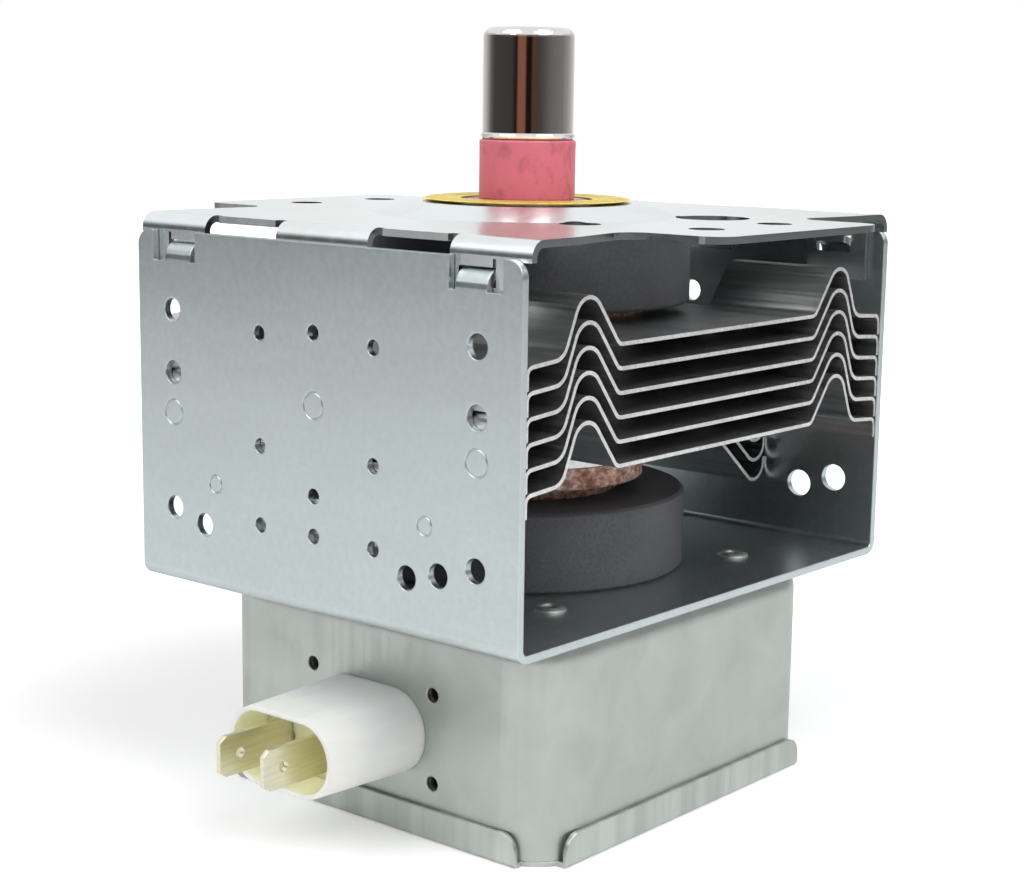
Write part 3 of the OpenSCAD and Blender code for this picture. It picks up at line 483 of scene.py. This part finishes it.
class MAGNETRON_OT_studio(bpy.types.Operator):
    """Set the floor, the soft lights, the darker side of the room and the camera"""
    bl_idname = "magnetron.studio"
    bl_label = "Studio"

    def execute(self, context):
        scene = context.scene
        studio = scene.magnetron_studio
        scene.view_settings.view_transform = "Standard"
        alone()
        floor_z = CAD_BOX[0][2]

        bpy.ops.mesh.primitive_plane_add(size=FLOOR_SIZE, location=(0, 0, floor_z))
        floor = context.object
        floor.name = "floor"
        bpy.ops.object.transform_apply(location=True, rotation=False, scale=False)
        made, tree, out, mm = blank("pale_paper_floor")
        fibre = add(tree, "ShaderNodeTexNoise", {"Vector": mm, "Scale": 1 / 60, "Detail": 2.0})
        paper = add(tree, "ShaderNodeValToRGB", {"Fac": fibre}, [(0.3, linear("#F0F0F0")), (0.7, linear("#F5F5F5"))])
        ray = add(tree, "ShaderNodeLightPath")
        mirrored = add(tree, "ShaderNodeMath", {0: ray.outputs["Is Glossy Ray"], 1: ray.outputs["Is Transmission Ray"]},
                       operation="MAXIMUM")
        lift = add(tree, "ShaderNodeMath", {0: mirrored, 1: FLOOR_MIRRORED}, operation="MULTIPLY")
        far = add(tree, "ShaderNodeVectorMath", {0: mm}, operation="LENGTH").outputs["Value"]
        white = add(tree, "ShaderNodeMapRange", {"Value": far, "From Min": FLOOR_REACH[0], "From Max": FLOOR_REACH[1],
                                                 "To Min": FLOOR_NEAR, "To Max": FLOOR_FAR})
        lift = add(tree, "ShaderNodeMath", {0: ray.outputs["Is Camera Ray"], 1: white, 2: lift},
                   operation="MULTIPLY_ADD")
        skin = add(tree, "ShaderNodeBsdfPrincipled", {"Base Color": paper, "Roughness": 0.9, "Specular IOR Level": 0.1,
                                                      "Emission Color": [1, 1, 1, 1], "Emission Strength": lift})
        tree.links.new(skin.outputs[0], out)
        floor.data.materials.append(made)

        room = bpy.data.worlds.new("white_room")
        room.use_nodes = True
        tree = room.node_tree
        tree.nodes.clear()
        ray = add(tree, "ShaderNodeLightPath")
        seen = add(tree, "ShaderNodeMath", {0: ray.outputs["Is Camera Ray"], 1: ray.outputs["Is Glossy Ray"]},
                   operation="MAXIMUM")
        seen = add(tree, "ShaderNodeMath", {0: seen, 1: ray.outputs["Is Transmission Ray"]}, operation="MAXIMUM")
        strength = add(tree, "ShaderNodeMapRange", {"Value": seen, "To Min": studio.ambient, "To Max": 1.0})
        sky = add(tree, "ShaderNodeBackground", {"Color": [1, 1, 1, 1], "Strength": strength})
        tree.links.new(sky.outputs[0], add(tree, "ShaderNodeOutputWorld").inputs["Surface"])
        scene.world = room

        def softbox(name, angle, power):
            """Adds a square soft light."""
            light = bpy.data.lights.new(name, "AREA")
            light.shape = "RECTANGLE"
            light.size = light.size_y = SOFTBOX_SIZE
            light.energy = power
            o = bpy.data.objects.new(name, light)
            scene.collection.objects.link(o)
            a = CAMERA_AZIMUTH + math.radians(angle)
            o.location = (SOFTBOX_DISTANCE * math.sin(a), -SOFTBOX_DISTANCE * math.cos(a), SOFTBOX_HEIGHT)
            o.rotation_euler = (Vector(SOFTBOX_AIM) - o.location).to_track_quat("-Z", "Y").to_euler()

        softbox("left_softbox", SOFTBOX_LEFT, studio.left_power)
        softbox("right_softbox", SOFTBOX_RIGHT, studio.right_power)

        # The room's darker side, which only the metal mirrors, as a wall that glows with painted colours and is no
        # lamp: grey walls, brown and black behind the camera, and white at the back.
        bpy.ops.mesh.primitive_cylinder_add(vertices=96, radius=ROOM_RADIUS, depth=ROOM_HEIGHT, end_fill_type="NOTHING",
                                            location=(0, 0, floor_z + ROOM_HEIGHT / 2))
        wall = context.object
        wall.name = "dark_room"
        bpy.ops.object.transform_apply(location=True, rotation=False, scale=False)
        made, tree, out, mm = blank("glowing_reflection_wall")
        faced = add(tree, "ShaderNodeMapping", {"Vector": mm, "Rotation": [0, 0, math.pi / 2 - CAMERA_AZIMUTH]})
        round_it = add(tree, "ShaderNodeTexGradient", {"Vector": faced}, gradient_type="RADIAL")
        # Stops run from 0 at the back, by the left, to 0.5 behind the camera, and by the right to the back again.
        brown, black = linear("#8A5C4B"), linear("#1E1512")
        tone = add(tree, "ShaderNodeValToRGB", {"Fac": round_it.outputs["Fac"]}, [
            (0.0, [1.0] * 3), (1.0, [1.0] * 3), (0.13, [0.55] * 3), (0.2, [0.13] * 3), (0.24, [0.06] * 3),
            (0.38, [0.05] * 3), (0.415, black), (0.43, brown), (0.472, brown), (0.487, black), (0.515, black),
            (0.53, linear("#5A4036")), (0.56, linear("#4E4038")), (0.6, [0.08] * 3), (0.66, [0.15] * 3),
            (0.76, [0.22] * 3), (0.82, [0.34] * 3), (0.88, [0.55] * 3)])
        height = add(tree, "ShaderNodeSeparateXYZ", {0: mm}).outputs["Z"]
        gone = add(tree, "ShaderNodeMapRange", {"Value": height, "From Min": ROOM_FADE[0], "From Max": ROOM_FADE[1]})
        # The wall glows with these painted colours, which only mirrored rays see.
        glow = add(tree, "ShaderNodeEmission", {"Color": tone, "Strength": 1.0})
        skin = add(tree, "ShaderNodeMixShader", {0: gone, 1: glow, 2: add(tree, "ShaderNodeBsdfTransparent")})
        tree.links.new(skin.outputs[0], out)
        wall.data.materials.append(made)
        wall.visible_camera = wall.visible_diffuse = wall.visible_shadow = wall.visible_transmission = False

        eye = bpy.data.cameras.new("photo_camera")
        eye.sensor_width = CAMERA_SENSOR
        eye.lens = CAMERA_LENS
        eye.clip_start = 0.01
        o = bpy.data.objects.new("photo_camera", eye)
        scene.collection.objects.link(o)
        level = math.cos(CAMERA_ELEVATION)
        back = Vector((level * math.sin(CAMERA_AZIMUTH), -level * math.cos(CAMERA_AZIMUTH), math.sin(CAMERA_ELEVATION)))
        right = (-back).cross(Vector((0, 0, 1))).normalized()
        down = (-back).cross(right)
        across = math.cos(CAMERA_ROLL) * right + math.sin(CAMERA_ROLL) * down
        up = math.sin(CAMERA_ROLL) * right - math.cos(CAMERA_ROLL) * down
        o.matrix_world = Matrix.Translation(CAMERA_PLACE) @ Matrix((across, up, back)).transposed().to_4x4()
        scene.camera = o
        return {"FINISHED"}


class MAGNETRON_PT_panel(bpy.types.Panel):
    """Lists the magnetron's pieces"""
    bl_idname = "MAGNETRON_PT_panel"
    bl_label = "Magnetron"
    bl_space_type = "VIEW_3D"
    bl_region_type = "UI"
    bl_category = "Magnetron"

    def draw(self, context):
        for piece in PIECES:
            self.layout.operator(piece.bl_idname)
        for name in ("magnetron_sizes", "magnetron_colours", "magnetron_studio"):
            group = getattr(context.scene, name)
            for key in group.__annotations__:
                self.layout.prop(group, key)


PIECES = (MAGNETRON_OT_yoke, MAGNETRON_OT_fins, MAGNETRON_OT_tube, MAGNETRON_OT_gasket, MAGNETRON_OT_filter,
          MAGNETRON_OT_studio)
CLASSES = (MagnetronColours, MagnetronSizes, MagnetronStudio, *PIECES, MAGNETRON_PT_panel)


def register():
    for cls in CLASSES:
        bpy.utils.register_class(cls)
    bpy.types.Scene.magnetron_colours = PointerProperty(type=MagnetronColours)
    bpy.types.Scene.magnetron_sizes = PointerProperty(type=MagnetronSizes)
    bpy.types.Scene.magnetron_studio = PointerProperty(type=MagnetronStudio)


def unregister():
    del bpy.types.Scene.magnetron_studio
    del bpy.types.Scene.magnetron_sizes
    del bpy.types.Scene.magnetron_colours
    for cls in reversed(CLASSES):
        bpy.utils.unregister_class(cls)


def main():
    register()
    bpy.ops.magnetron.yoke()
    bpy.ops.magnetron.fins()
    bpy.ops.magnetron.tube()
    bpy.ops.magnetron.gasket()
    bpy.ops.magnetron.filter()
    bpy.ops.magnetron.studio()
    alone()


if __name__ == "__main__":
    main()
